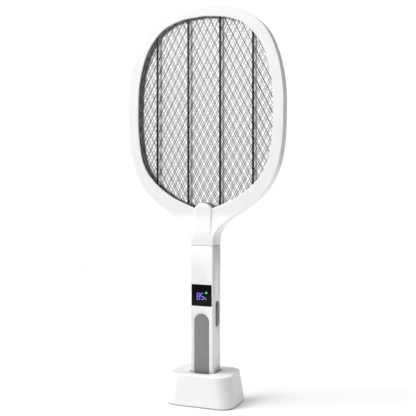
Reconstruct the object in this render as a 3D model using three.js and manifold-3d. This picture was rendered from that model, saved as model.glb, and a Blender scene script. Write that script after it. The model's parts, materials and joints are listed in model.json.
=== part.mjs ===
// Rechargeable electric fly swatter standing in its charging dock.
// Millimetres, +Z up, front towards -Y. The origin is on the surface the dock stands on,
// at the middle of its foot print. The racket is upright in the dock's socket.
import * as THREE from 'three';
import { mergeVertices } from 'three/addons/utils/BufferGeometryUtils.js';
import Module from 'manifold-3d';

const wasm = await Module();
wasm.setup();

// ---------------------------------------------------------------- driving dimensions
const GAP = 0.3;              // clearance between two pieces that touch
const SEAM = 0.15;            // half of the visible joint line between two shells
const FAR = 400;              // longer than anything that a cutter has to pass through

// head
const HEAD_HALF = 8.4;        // half thickness of the head
const FACE = 1.8;             // thickness of the shells' flat face
const WALL = 2.0;             // thickness of the shells' outer wall
const HEAD_TOP = 474.5;
const NECK_END = 188;         // lowest point of the head's outside
const HEAD_MIDDLE = 347;      // height of the head's widest line
const OUTER = [               // right half of the head's outline, from the top down to the neck
  [0, HEAD_TOP], [30, 471.6], [56.5, 461.4], [78.2, 442], [91.5, 413.3], [98.5, 378], [99.4, 345],
  [97.5, 308], [91.2, 279], [78.6, 255], [58.6, 235.7], [38.2, 222.1], [24.6, 212], [17.2, 201.5],
  [15, 190],
];
const OPENING = [             // right half of the opening, which ends in a blunt V
  [0, 461.4], [29.4, 457.9], [52, 448.4], [67.8, 431.6], [77.6, 412.5], [84.4, 385], [86.4, 347],
  [85, 314], [79, 284.6], [66.4, 265], [42, 245.6], [12, 232.3], [0, 227],
];
const HUMP_R = 13.6;          // round hump that rises into the opening's lower end
const HUMP_TOP = 238.3;
const SPINE_HALF = 11.5;      // half width of the raised spine that runs down the neck
const SPINE_DEPTH = 10.6;     // distance of the spine's crest from the middle plane
const SPINE_LOW = 198;
const SPINE_DOME = 229;       // height where the spine's column ends in a dome
const SWELL_TOP = 228;        // between these heights the neck swells to the handle's thickness
const SWELL_LOW = 192;
const SLEEVE_LOW = 180;       // the head's tongue inside the handle
const SLEEVE_TOP = 191.5;
const SLEEVE_WALL = 1.6;
const SCREW_HOLE = 1.5;       // radius of every screw's hole
const SCREW_SEAT = 2.9;       // radius of every screw head's seat
const BOSS_R = 2.5;
const SCREW_RING = 8.1;       // distance of the head screws from the opening's edge

// grids
const NET = 0.5;              // thickness of a metal grid
const NET_Y = 6.05;           // distance of the outer grids from the middle plane
const NET_GRIP = 3;           // how far a grid reaches under the lip
const MESH_W = 34;            // width and height of one diamond of a grid
const MESH_H = 64;
const STRAND = 1.8;           // width of a grid's strands
const NET_RIM = 1.5;          // width of a grid's closed rim
const NET_LOW = 227;
const TAB_LOW = 214;          // lower end of the tab that a grid's wire is soldered to
const BAND_STRAIGHT = 243;    // below this height grids and frames run straight to their low edge
const BAND_END = 9;           // half width of that low edge
const LEDGE = 1.8;            // how far the grid frames show inside the lip
const FRAME_BAND = 5.2;       // how far the grid frames reach under the lip
const FRAME_LOW = 221;
const FRAME_Y = [0.45, 5.5];  // a frame lies between these distances from the middle plane
const RIB_PITCH = 41.1;
const RIB_HALF = 1.3;
const RIBS = [-1.5, -0.5, 0.5, 1.5];

// handle
const HANDLE_HX = 15;
const HANDLE_HY = 13.2;
const CORNER_FRONT = 2.2;
const CORNER_REAR = 4;
const SKIN = 2.2;             // thickness of the handle's wall
const HANDLE_TOP = 187.6;
const RACKET_LOW = 13.3;
const CAP_PLATE = 3;
const PAD_HALF = 9.15;
const PAD_TOP = 106.8;
const WINDOW_HALF = 12.75;
const WINDOW_MID = 128.7;
const BUTTON_MID = 105.6;
const BUTTON_HALF_Z = 15.2;
const BUTTON_HALF_Y = 4.8;
const CELL_LOW = 28.5;        // lower end of the battery cell
const CELL_LONG = 65;
const CELL_R = 9.2;
const BOARD_LOW = 103.2;
const BOARD_TOP = 170;
const BOARD_FRONT = 2;
const BOARD = 1.6;
const HANDLE_SCREWS = [22.6, 99.5, 175];
const CONTACT_X = 6;          // charging contacts and dock pins stand at plus and minus this

// dock
const DOCK_LOW = 1;
const DOCK_TOP = 37;
const DOCK_FOOT = { x: 43.5, y: 30.8, r: 17.5 };
const DOCK_HEAD = { x: 38.4, y: 28, r: 17.7 };
const DOCK_WALL = 2.4;
const DOCK_ROOF = 34.6;
const SOCKET = { x: 17.6, y: 17.4, r: 12 };
const CUP_FLOOR = 13;
const CUP_WALL = 2;
const PLATE_TOP = 3;
const DOCK_BOARD_LOW = 4;
const DOCK_SCREW = [26, 20];
const DOCK_FEET = [33, 11];
const CHANNEL = { x: 10.5, y: 4, z: 12 };   // groove in the cup's floor that the pins rise from
const PIN_TIP = 13;           // free height of the pins
const USB_Z = 7.5;
const USB_HALF_X = 4.5;
const USB_HALF_Z = 1.65;

// ---------------------------------------------------------------- solids and booleans
function solid(geometry) {
  const plain = geometry.clone();
  plain.deleteAttribute('normal');
  plain.deleteAttribute('uv');
  const merged = mergeVertices(plain, 1e-4);
  const vertProperties = new Float32Array(merged.attributes.position.array);
  const triVerts = new Uint32Array(merged.index.array);
  return new wasm.Manifold(new wasm.Mesh({ numProp: 3, vertProperties, triVerts }));
}

function geometryOf(body) {
  const mesh = body.getMesh();
  const geometry = new THREE.BufferGeometry();
  geometry.setAttribute('position', new THREE.BufferAttribute(mesh.vertProperties, 3));
  geometry.setIndex(new THREE.BufferAttribute(mesh.triVerts, 1));
  geometry.computeVertexNormals();
  return geometry;
}

const join = (...bodies) => bodies.reduce((sum, body) => sum.add(body));
const cut = (body, ...tools) => tools.reduce((rest, tool) => rest.subtract(tool), body);

// Flat shapes are drawn in the plane they face and pushed along the third axis.
const ALONG_X = new THREE.Matrix4().set(0, 0, 1, 0, 1, 0, 0, 0, 0, 1, 0, 0, 0, 0, 0, 1);
const ALONG_Y = new THREE.Matrix4().set(1, 0, 0, 0, 0, 0, -1, 0, 0, 1, 0, 0, 0, 0, 0, 1);

function extruded(shape, depth, bevel = 0, steps = 2) {
  return new THREE.ExtrudeGeometry(shape, {
    depth: depth - 2 * bevel,
    bevelEnabled: bevel > 0,
    bevelThickness: bevel,
    bevelSize: bevel,
    bevelOffset: -bevel,
    bevelSegments: steps,
    curveSegments: 5,
  }).translate(0, 0, bevel);
}

function slabZ(shape, low, high, bevel, steps) {
  return solid(extruded(shape, high - low, bevel, steps).translate(0, 0, low));
}

function slabY(shape, front, rear, bevel, steps) {
  return solid(extruded(shape, rear - front, bevel, steps).applyMatrix4(ALONG_Y).translate(0, rear, 0));
}

function slabX(shape, left, right, bevel, steps) {
  return solid(extruded(shape, right - left, bevel, steps).applyMatrix4(ALONG_X).translate(left, 0, 0));
}

function box(x0, x1, y0, y1, z0, z1) {
  const geometry = new THREE.BoxGeometry(x1 - x0, y1 - y0, z1 - z0);
  return solid(geometry.translate((x0 + x1) / 2, (y0 + y1) / 2, (z0 + z1) / 2));
}

function rodZ(x, y, low, high, radius, sides = 12) {
  const geometry = new THREE.CylinderGeometry(radius, radius, high - low, sides);
  return solid(geometry.rotateX(Math.PI / 2).translate(x, y, (low + high) / 2));
}

function rodY(x, z, front, rear, radius, sides = 12) {
  const geometry = new THREE.CylinderGeometry(radius, radius, rear - front, sides);
  return solid(geometry.translate(x, (front + rear) / 2, z));
}

function rodX(y, z, left, right, radius, sides = 12) {
  const geometry = new THREE.CylinderGeometry(radius, radius, right - left, sides);
  return solid(geometry.rotateZ(Math.PI / 2).translate((left + right) / 2, y, z));
}

// A profile of [radius, height] pairs, from the axis back to the axis, turned about Z.
function turned(profile, x, y, sides = 12) {
  const points = profile.map(([radius, height]) => new THREE.Vector2(radius, height));
  return solid(new THREE.LatheGeometry(points, sides).rotateX(Math.PI / 2).translate(x, y, 0));
}

// ---------------------------------------------------------------- outlines
function polygon(points) {
  return new THREE.Shape(points.map(([u, v]) => new THREE.Vector2(u, v)));
}

function roundBox(hx, front, rear = front, rFront = 1, rRear = rFront) {
  const shape = new THREE.Shape();
  shape.absarc(hx - rFront, -front + rFront, rFront, -Math.PI / 2, 0);
  shape.absarc(hx - rRear, rear - rRear, rRear, 0, Math.PI / 2);
  shape.absarc(-hx + rRear, rear - rRear, rRear, Math.PI / 2, Math.PI);
  shape.absarc(-hx + rFront, -front + rFront, rFront, Math.PI, 1.5 * Math.PI);
  shape.closePath();
  return shape;
}

function slot(halfU, halfV, midU, midV) {
  const shape = new THREE.Shape();
  shape.absarc(midU, midV + halfV - halfU, halfU, 0, Math.PI);
  shape.absarc(midU, midV - halfV + halfU, halfU, Math.PI, 2 * Math.PI);
  shape.closePath();
  return shape;
}

// The closed outline through the control points of its right half.
function mirroredCurve(controls, steps) {
  const curve = new THREE.CatmullRomCurve3(
    controls.map(([x, z]) => new THREE.Vector3(x, z, 0)), false, 'centripetal');
  const right = curve.getPoints(steps).map((point) => [point.x, point.y]);
  const left = right.filter(([x]) => x > 0.01).map(([x, z]) => [-x, z]);
  return [...right, ...left.reverse()];
}

// Moves every side of a closed outline outwards by a distance, inwards if it is negative.
function offset(points, distance) {
  const count = points.length;
  const normals = points.map(([x, z], i) => {
    const [nextX, nextZ] = points[(i + 1) % count];
    const length = Math.hypot(nextX - x, nextZ - z);
    return [-(nextZ - z) / length, (nextX - x) / length];
  });
  return points.map(([x, z], i) => {
    const [ax, az] = normals[(i + count - 1) % count];
    const [bx, bz] = normals[i];
    const scale = distance / (1 + ax * bx + az * bz);
    return [x + (ax + bx) * scale, z + (az + bz) * scale];
  });
}

// The head's outline runs on below the neck's end, where it is cut square.
const headOutline = mirroredCurve([...OUTER, [HANDLE_HX, NECK_END - 40]], 30);
const openingOutline = mirroredCurve(OPENING, 24);

// The opening is the V-ended outline less the round hump. Growing it shrinks the hump.
function openingCutter(grow, front, rear) {
  const hump = rodY(0, HUMP_TOP - HUMP_R, front - 1, rear + 1, HUMP_R - grow, 28);
  return cut(slabY(polygon(offset(openingOutline, grow)), front, rear), hump);
}

// ---------------------------------------------------------------- head shells
// Distance of the neck's surface from the middle plane, less an inset: it swells from the
// head's thickness to the handle's.
function neckProfile(inset) {
  const points = [];
  for (let i = 0; i <= 8; i += 1) {
    const t = i / 8;
    const swell = t * t * (3 - 2 * t);
    const height = SWELL_TOP + (SWELL_LOW - SWELL_TOP) * t;
    points.push([HEAD_HALF + (HANDLE_HY - HEAD_HALF) * swell - inset, height]);
  }
  const below = NECK_END - 20;
  return polygon([[0.1, SWELL_TOP], ...points, [HANDLE_HY - inset, below], [0.1, below]]);
}

// The point of a shell's screw: on the lip's middle, at an angle about the head's middle.
function ringPoint(angle) {
  const dx = Math.sin(angle);
  const dz = Math.cos(angle);
  const ring = offset(openingOutline, SCREW_RING);
  let best = ring[0];
  for (const point of ring) {
    const up = (p) => p[1] - HEAD_MIDDLE;
    const aim = (p) => (p[0] * dx + up(p) * dz) / Math.hypot(p[0], up(p));
    if (aim(point) > aim(best)) {
      best = point;
    }
  }
  return best;
}

const HEAD_SCREWS = [0.5, 1.45, 2.3, -2.3, -1.45, -0.5].map(ringPoint);

function neckBody(bevel) {
  const block = slabY(polygon(headOutline), -HANDLE_HY, HANDLE_HY, bevel, 2);
  return block.intersect(slabX(neckProfile(0), -FAR, FAR));
}

function spine() {
  const ball = new THREE.SphereGeometry(1, 16, 8).scale(SPINE_HALF, SPINE_DEPTH, HUMP_TOP - SPINE_DOME);
  const column = new THREE.CylinderGeometry(1, 1, SPINE_DOME - SPINE_LOW, 16).rotateX(Math.PI / 2);
  column.scale(SPINE_HALF, SPINE_DEPTH, 1).translate(0, 0, (SPINE_DOME + SPINE_LOW) / 2);
  const rear = box(-FAR, FAR, 0.1, FAR, 0, FAR * 2);
  return join(solid(ball.translate(0, 0, SPINE_DOME)), solid(column)).intersect(rear);
}

// One half of the head, made as the rear half; the front half is its mirror image.
function headHalf(bevel, neckBevel) {
  const flat = slabY(polygon(headOutline), -HEAD_HALF, HEAD_HALF, bevel, bevel > 1 ? 2 : 1);
  const half = box(-FAR, FAR, SEAM, FAR, NECK_END, FAR * 2);
  const sleeveHalf = box(-FAR, FAR, SEAM, FAR, 0, FAR * 2);
  const ring = cut(flat, openingCutter(0, -HEAD_HALF - 1, HEAD_HALF + 1));
  const outside = join(ring, neckBody(neckBevel), spine());
  const inner = offset(headOutline, -WALL);
  const hollow = slabY(polygon(inner), -1, HEAD_HALF - FACE);
  const neckHollow = slabY(polygon(inner), -1, HANDLE_HY).intersect(slabX(neckProfile(WALL), -FAR, FAR));
  const bosses = HEAD_SCREWS.map(([x, z]) => rodY(x, z, SEAM, HEAD_HALF - FACE + 0.5, BOSS_R));
  const shell = join(cut(outside, hollow, neckHollow), ...bosses).intersect(half);
  return join(shell, neckSleeve().intersect(sleeveHalf));
}

// The tongue that reaches down into the handle.
function neckSleeve() {
  const layer = (inset, radius) => roundBox(HANDLE_HX - inset, HANDLE_HY - inset, HANDLE_HY - inset, radius);
  const tongue = slabZ(layer(SKIN + GAP, 2), SLEEVE_LOW, SLEEVE_TOP);
  const collar = slabZ(layer(1, 2), NECK_END, SLEEVE_TOP);
  const inside = slabZ(layer(SKIN + GAP + SLEEVE_WALL, 1), SLEEVE_LOW - 1, SLEEVE_TOP + 1);
  return cut(join(tongue, collar), inside);
}

function headFrontShell() {
  const shell = headHalf(0.8, CORNER_FRONT).mirror([0, 1, 0]);
  return cut(shell, ...HEAD_SCREWS.map(([x, z]) => rodY(x, z, -5.4, 1, SCREW_HOLE)));
}

function headRearShell() {
  const holes = HEAD_SCREWS.map(([x, z]) => rodY(x, z, -1, HEAD_HALF + 1, SCREW_HOLE));
  const seats = HEAD_SCREWS.map(([x, z]) => rodY(x, z, HEAD_HALF - 1.6, HEAD_HALF + 1, SCREW_SEAT));
  const seatFloors = HEAD_SCREWS.map(([x, z]) => rodY(x, z, NET_Y - NET / 2, HEAD_HALF - 1.7, 3.6));
  return cut(join(headHalf(3, CORNER_REAR), ...seatFloors), ...seats, ...holes);
}

// ---------------------------------------------------------------- grids and grid frames
// The outline that a grid or its frame has under the lip: smooth, and closed behind the hump.
function bandOutline(reach, low) {
  const kept = offset(openingOutline, reach).filter((point, i) => openingOutline[i][1] > BAND_STRAIGHT);
  const right = kept.filter(([x]) => x > -0.01);
  const left = kept.filter(([x]) => x <= -0.01);
  return polygon([...right, [BAND_END, low], [-BAND_END, low], ...left]);
}

// Made as the rear frame; side -1 gives the front one.
function gridFrame(side) {
  const [front, rear] = FRAME_Y;
  const band = slabY(bandOutline(FRAME_BAND, FRAME_LOW), front, rear);
  const ring = cut(band, openingCutter(-LEDGE, front - 1, rear + 1));
  const inside = slabY(bandOutline(1, FRAME_LOW + 5), front, rear);
  const ribs = RIBS.map((place) => {
    const x = place * RIB_PITCH;
    return box(x - RIB_HALF, x + RIB_HALF, front, rear, FRAME_LOW + 3, HEAD_TOP - 5).intersect(inside);
  });
  const frame = join(ring, ...ribs);
  return side < 0 ? frame.mirror([0, 1, 0]) : frame;
}

function diamond(x, z) {
  const halfW = (MESH_W - STRAND * 1.15) / 2;
  const halfH = (MESH_H - STRAND * 2.2) / 2;
  return polygon([[x + halfW, z], [x, z + halfH], [x - halfW, z], [x, z - halfH]]);
}

// A flat grid of diamonds with a closed rim, and a tab for its wire.
function grid(middle, shift, tabX) {
  const holes = [];
  for (let row = -4; row <= 4; row += 1) {
    for (let column = -3; column <= 3; column += 1) {
      const x = (column + (row % 2 ? 0.5 : 0) + shift) * MESH_W;
      holes.push(diamond(x, HEAD_MIDDLE + row * MESH_H / 2));
    }
  }
  const rear = middle + NET / 2;
  const front = middle - NET / 2;
  const plate = slabY(bandOutline(NET_GRIP, NET_LOW), front, rear);
  const window = slabY(bandOutline(NET_GRIP - NET_RIM, NET_LOW + 6), front - 1, rear + 1);
  const cutter = solid(extruded(holes, NET + 4).applyMatrix4(ALONG_Y).translate(0, middle + 2 + NET / 2, 0));
  const tab = box(tabX - 2.5, tabX + 2.5, front, rear, TAB_LOW, NET_LOW + 1);
  return join(cut(plate, cutter.intersect(window)), tab);
}

// ---------------------------------------------------------------- screws
// A slotted pan head and a plain shank. The head's flat is at the origin, the shank points up.
function screw(length) {
  const shank = 1.2;
  const head = 2.5;
  const body = turned([[0, 0], [head, 0], [head, 1.2], [shank, 1.2], [shank, length], [0, length]], 0, 0, 10);
  return cut(body, box(-head - 1, head + 1, -0.35, 0.35, -1, 0.6));
}

// ---------------------------------------------------------------- handle
function handleTube() {
  const outside = roundBox(HANDLE_HX, HANDLE_HY, HANDLE_HY, CORNER_FRONT, CORNER_REAR);
  const inside = roundBox(HANDLE_HX - SKIN, HANDLE_HY - SKIN, HANDLE_HY - SKIN, 1.2, 2.4);
  const low = RACKET_LOW + CAP_PLATE + GAP;
  return cut(slabZ(outside, low, HANDLE_TOP), slabZ(inside, low - 1, HANDLE_TOP + 1));
}

function buttonHole() {
  return slabX(slot(BUTTON_HALF_Y + GAP, BUTTON_HALF_Z + GAP, 0, BUTTON_MID), 5, 20);
}

function squareWindow(half, depthFront, depthRear) {
  const low = WINDOW_MID - half;
  return box(-half, half, -depthRear, -depthFront, low, low + 2 * half);
}

function padOutline(half, top, low) {
  const shape = new THREE.Shape();
  shape.absarc(0, top - half, half, 0, Math.PI);
  shape.lineTo(-half, low);
  shape.lineTo(half, low);
  shape.closePath();
  return shape;
}

function handleFrontShell() {
  const front = box(-FAR, FAR, -FAR, -SEAM, 0, FAR);
  const padSeat = slabY(padOutline(PAD_HALF + 0.2, PAD_TOP + 0.2, 18), -HANDLE_HY - 1, -HANDLE_HY + 1.2);
  const windowSeat = squareWindow(WINDOW_HALF + 0.2, HANDLE_HY - 1.4, HANDLE_HY + 1);
  const windowHole = squareWindow(11, HANDLE_HY - 4, HANDLE_HY + 1);
  const bosses = HANDLE_SCREWS.map((z) => rodY(0, z, -HANDLE_HY + 1.9, -SEAM, 2.6));
  const holes = HANDLE_SCREWS.map((z) => rodY(0, z, -8, 1, SCREW_HOLE));
  const shell = join(handleTube().intersect(front), ...bosses);
  return cut(shell, padSeat, windowSeat, windowHole, buttonHole(), ...holes);
}

function handleRearShell() {
  const rear = box(-FAR, FAR, SEAM, FAR, 0, FAR);
  const bosses = HANDLE_SCREWS.map((z) => rodY(0, z, SEAM, HANDLE_HY - 1, 3.4));
  const holes = HANDLE_SCREWS.map((z) => rodY(0, z, -1, HANDLE_HY + 1, SCREW_HOLE));
  const seats = HANDLE_SCREWS.map((z) => rodY(0, z, HANDLE_HY - 2, HANDLE_HY + 1, SCREW_SEAT));
  return cut(join(handleTube().intersect(rear), ...bosses), buttonHole(), ...seats, ...holes);
}

function handleEndCap() {
  const top = RACKET_LOW + CAP_PLATE;
  const side = SKIN + GAP;
  const plate = roundBox(HANDLE_HX, HANDLE_HY, HANDLE_HY, CORNER_FRONT, CORNER_REAR);
  const plug = roundBox(HANDLE_HX - side, HANDLE_HY - side, HANDLE_HY - side, 1.2, 2);
  const pocket = roundBox(HANDLE_HX - side - 1.5, HANDLE_HY - side - 1.5);
  const ports = [-CONTACT_X, CONTACT_X].map((x) => rodZ(x, 0, 0, 30, 2.5));
  const cap = join(slabZ(plate, RACKET_LOW, top), slabZ(plug, top - 1, top + 2.2));
  return cut(cap, slabZ(pocket, top, top + 9), ...ports);
}

function gripPad() {
  const low = RACKET_LOW + CAP_PLATE + 2.2;
  return slabY(padOutline(PAD_HALF, PAD_TOP, low), -HANDLE_HY - 0.5, -HANDLE_HY + 1, 0.35, 2);
}

function zapButton() {
  const cap = slabX(slot(BUTTON_HALF_Y, BUTTON_HALF_Z, 0, BUTTON_MID), 11.4, HANDLE_HX + 1.2, 0.8, 2);
  const flange = slabX(slot(BUTTON_HALF_Y + 1.3, BUTTON_HALF_Z + 1.5, 0, BUTTON_MID), 11.4, 12.5);
  return join(cap, flange);
}

// ---------------------------------------------------------------- inside the handle
function displayModule() {
  const board = box(-10, 10, -9.4, -8, 119.4, 138);
  const digits = box(-8.5, 8.5, -11.4, -9.4, 121.5, 136);
  const header = box(-5, 5, -8, BOARD_FRONT - GAP, 120, 122);
  return join(board, digits, header);
}

function triggerSwitch() {
  const housing = box(4.6, 8.9, -3.2, BOARD_FRONT - 0.1, 103.4, 108.8);
  return join(housing, rodX(-0.7, BUTTON_MID, 8.5, 9.8, 1.4, 10));
}

function batteryTab(z, direction) {
  const plate = rodZ(0, 0, z, z + 0.6, 6);
  const knob = rodZ(0, 0, z + direction * 0.7 - 0.1, z + 0.7 + direction * 0.7, 2.2);
  return join(plate, knob);
}

function mainBoard() {
  const board = box(-9.4, 9.4, BOARD_FRONT, BOARD_FRONT + BOARD, BOARD_LOW, BOARD_TOP);
  const wireNotch = rodY(0, BOARD_TOP, 0, 6, 3);
  return cut(board, wireNotch);
}

const BEHIND = BOARD_FRONT + BOARD + 0.1;

function transformer() {
  const core = box(-7.5, 7.5, BEHIND, BEHIND + 6.6, 124, 139);
  const winding = box(-5.5, 5.5, BEHIND + 0.8, BEHIND + 5.8, 122, 141);
  return join(core, winding);
}

function capacitor() {
  return slabZ(roundBox(8, 3, 3, 0.8), 148, 163).translate([0, BEHIND + 3, 0]);
}

function resistor() {
  const body = rodX(0, 0, -3.4, 3.4, 1.3, 12);
  const leads = rodX(0, 0, -5, 5, 0.4, 8);
  return join(body, leads).translate([0, BEHIND + 1.4, 144.4]);
}

function transistor() {
  const body = box(-7, 1, BEHIND + 0.2, BEHIND + 3.2, 110, 119.5);
  const legs = [-6, -3, 0].map((x) => box(x - 0.4, x + 0.4, BEHIND + 1, BEHIND + 1.6, 104.5, 110.5));
  return join(body, ...legs);
}

// A round wire along a smooth curve through its points.
function wire(points, radius = 0.7) {
  const section = new THREE.Shape();
  section.absarc(0, 0, radius, 0, 2 * Math.PI);
  const path = new THREE.CatmullRomCurve3(points.map(([x, y, z]) => new THREE.Vector3(x, y, z)));
  return solid(new THREE.ExtrudeGeometry(section, {
    extrudePath: path, steps: 10, curveSegments: 3, bevelEnabled: false,
  }));
}

const BOARD_EDGE = BOARD_FRONT + BOARD / 2;

function hvWire() {
  return wire([[-6, BOARD_EDGE, BOARD_TOP + GAP], [-6, 1.6, 182], [-5.5, 0, 200], [-5, 0, TAB_LOW - GAP]]);
}

function groundWire(side) {
  const x = side < 0 ? 5 : 8;
  return wire([[x, BOARD_EDGE, BOARD_TOP + GAP], [x, BOARD_EDGE + side, 182], [5.5, side * 4, 200],
    [5, side * NET_Y, TAB_LOW - GAP]]);
}

// A flat contact, flush with the end cap's under side and held by its head above it.
function chargeContact(x) {
  const top = RACKET_LOW + CAP_PLATE;
  return turned([[0, RACKET_LOW], [2.2, RACKET_LOW], [2.2, top + GAP], [3, top + GAP],
    [3, top + 1], [0, top + 1]], x, 0);
}

// ---------------------------------------------------------------- dock
function ringOf({ x, y, r }, inset, z) {
  const points = [];
  const radius = r - inset;
  for (let corner = 0; corner < 4; corner += 1) {
    const signX = corner === 0 || corner === 3 ? 1 : -1;
    const signY = corner < 2 ? 1 : -1;
    for (let i = 0; i <= 6; i += 1) {
      const angle = (corner + i / 6) * Math.PI / 2;
      points.push([
        signX * (x - r) + radius * Math.cos(angle), signY * (y - r) + radius * Math.sin(angle), z]);
    }
  }
  return points;
}

// A closed skin over rings of equal length, lowest ring first.
function lofted(rings) {
  const count = rings[0].length;
  const index = [];
  for (let level = 0; level + 1 < rings.length; level += 1) {
    for (let i = 0; i < count; i += 1) {
      const a = level * count + i;
      const b = level * count + (i + 1) % count;
      index.push(a, b, b + count, a, b + count, a + count);
    }
  }
  const last = (rings.length - 1) * count;
  for (let i = 1; i + 1 < count; i += 1) {
    index.push(0, i + 1, i, last, last + i, last + i + 1);
  }
  const geometry = new THREE.BufferGeometry();
  geometry.setAttribute('position', new THREE.Float32BufferAttribute(rings.flat(2), 3));
  geometry.setIndex(index);
  return solid(geometry);
}

function dockSection(z) {
  const t = THREE.MathUtils.clamp((z - 3) / (DOCK_TOP - 3), 0, 1);
  const blend = (a, b) => a + (b - a) * t;
  return {
    x: blend(DOCK_FOOT.x, DOCK_HEAD.x),
    y: blend(DOCK_FOOT.y, DOCK_HEAD.y),
    r: blend(DOCK_FOOT.r, DOCK_HEAD.r),
  };
}

const socketShape = (grow) => {
  const { x, y, r } = SOCKET;
  return roundBox(x + grow, y + grow, y + grow, r + grow);
};

// A slot that lies on its side at the socket's height.
function lyingSlot(halfZ, halfX, front, rear) {
  return slabY(slot(halfZ, halfX, 0, 0), front, rear).rotate([0, 90, 0]).translate([0, 0, USB_Z]);
}

function dockHousing() {
  const skin = [[DOCK_LOW, 0.6], [DOCK_LOW + 0.8, 0], [DOCK_TOP - 1.4, 0], [DOCK_TOP - 0.4, 0.5],
    [DOCK_TOP, 1.6]];
  const outside = lofted(skin.map(([z, inset]) => ringOf(dockSection(z), inset, z)));
  const hollow = lofted([-1, 3, DOCK_ROOF].map((z) => ringOf(dockSection(z), DOCK_WALL, z)));
  const cup = slabZ(socketShape(CUP_WALL), CUP_FLOOR - CUP_WALL, DOCK_ROOF + 1);
  const [sx, sy] = DOCK_SCREW;
  const corners = [[sx, sy], [-sx, sy], [-sx, -sy], [sx, -sy]];
  const bosses = corners.map(([x, y]) => rodZ(x, y, PLATE_TOP + GAP, DOCK_ROOF + 1, 3.2));
  const holes = corners.map(([x, y]) => rodZ(x, y, 0, 18, SCREW_HOLE));
  const socket = slabZ(socketShape(0), CUP_FLOOR, DOCK_TOP + 1);
  const lead = [[DOCK_TOP - 0.8, 0], [DOCK_TOP + 0.1, -0.9]];
  const flare = lofted(lead.map(([z, inset]) => ringOf(SOCKET, inset, z)));
  const pinHoles = [-CONTACT_X, CONTACT_X].map((x) => rodZ(x, 0, 0, CUP_FLOOR + 1, 1.8));
  const channel = box(-CHANNEL.x, CHANNEL.x, -CHANNEL.y, CHANNEL.y, CHANNEL.z, CUP_FLOOR + 1);
  const port = lyingSlot(USB_HALF_Z + GAP, USB_HALF_X + GAP, 20, 40);
  const body = join(cut(outside, hollow), cup, ...bosses);
  return cut(body, socket, channel, flare, port, ...pinHoles, ...holes);
}

function dockBottomPlate() {
  const plate = lofted([DOCK_LOW, PLATE_TOP].map((z) => ringOf(dockSection(0), DOCK_WALL + GAP, z)));
  const [sx, sy] = DOCK_SCREW;
  const [fx, fy] = DOCK_FEET;
  const tools = [];
  for (const [u, v] of [[1, 1], [-1, 1], [-1, -1], [1, -1]]) {
    tools.push(rodZ(u * sx, v * sy, 0, 4, SCREW_HOLE));
    tools.push(rodZ(u * sx, v * sy, 0, DOCK_LOW + 1.2, SCREW_SEAT));
    tools.push(rodZ(u * fx, v * fy, 0, DOCK_LOW + 0.9, 4.8, 16));
  }
  return cut(plate, ...tools);
}

function dockFoot(u, v) {
  const [fx, fy] = DOCK_FEET;
  return turned([[0, 0], [4.1, 0], [4.5, 0.4], [4.5, 1.6], [0, 1.6]], u * fx, v * fy, 16);
}

const DOCK_BOARD_TOP = DOCK_BOARD_LOW + BOARD;

function dockChargeBoard() {
  return box(-12, 12, -10, 27, DOCK_BOARD_LOW, DOCK_BOARD_TOP);
}

function dockUsbSocket() {
  const shell = lyingSlot(USB_HALF_Z, USB_HALF_X, 20, 28.6);
  const mouth = lyingSlot(USB_HALF_Z - 0.3, USB_HALF_X - 0.3, 21, 29);
  return join(cut(shell, mouth), box(-3.2, 3.2, 20.5, 27.4, USB_Z - 0.3, USB_Z + 0.3));
}

const PIN_FOOT = DOCK_BOARD_TOP + 0.1;
const PIN_LOW = 8.9;
const BARREL_TOP = 11.4;
const BARREL_BASE = 0.6;

function pinBarrel(x) {
  return turned([[0, PIN_FOOT], [1.5, PIN_FOOT], [1.5, BARREL_TOP], [1.05, BARREL_TOP],
    [1.05, PIN_FOOT + BARREL_BASE], [0, PIN_FOOT + BARREL_BASE]], x, 0);
}

function chargePin(x) {
  return turned([[0, PIN_LOW], [0.9, PIN_LOW], [0.9, PIN_LOW + 1], [0.65, PIN_LOW + 1.2],
    [0.65, PIN_TIP - 0.4], [0.35, PIN_TIP], [0, PIN_TIP]], x, 0);
}

function pinSpring(x) {
  const turns = 3;
  const coilR = 0.72;
  const low = PIN_FOOT + BARREL_BASE + GAP;
  const rise = PIN_LOW - GAP - low;
  const points = [];
  for (let i = 0; i <= turns * 8; i += 1) {
    const angle = i / 8 * 2 * Math.PI;
    const height = low + rise * i / (turns * 8);
    points.push(new THREE.Vector3(x + coilR * Math.cos(angle), coilR * Math.sin(angle), height));
  }
  const section = new THREE.Shape();
  section.absarc(0, 0, 0.17, 0, 2 * Math.PI);
  const path = new THREE.CatmullRomCurve3(points);
  return solid(new THREE.ExtrudeGeometry(section, {
    extrudePath: path, steps: turns * 9, curveSegments: 2, bevelEnabled: false,
  }));
}

// ---------------------------------------------------------------- the scene graph
const finishes = {
  white: { color: 0xf1f1ef, roughness: 0.32, metalness: 0 },
  frame: { color: 0x1c1c18, roughness: 0.4, metalness: 0 },
  steel: { color: 0xb4b6b8, roughness: 0.3, metalness: 1 },
  rubber: { color: 0x85878b, roughness: 0.7, metalness: 0 },
  glass: { color: 0x050507, roughness: 0.08, metalness: 0 },
  button: { color: 0x63656a, roughness: 0.5, metalness: 0 },
  board: { color: 0x1f5a33, roughness: 0.5, metalness: 0 },
  brass: { color: 0xc9a24a, roughness: 0.3, metalness: 1 },
  dark: { color: 0x202124, roughness: 0.5, metalness: 0 },
  cell: { color: 0x3465a8, roughness: 0.4, metalness: 0 },
  coil: { color: 0xb8862f, roughness: 0.5, metalness: 0.2 },
  film: { color: 0x8d2b22, roughness: 0.35, metalness: 0 },
  red: { color: 0xa52420, roughness: 0.55, metalness: 0 },
  black: { color: 0x141414, roughness: 0.6, metalness: 0 },
};

function piece(name, body, finish) {
  const mesh = new THREE.Mesh(geometryOf(body), new THREE.MeshStandardMaterial(finishes[finish]));
  mesh.name = name;
  return mesh;
}

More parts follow.
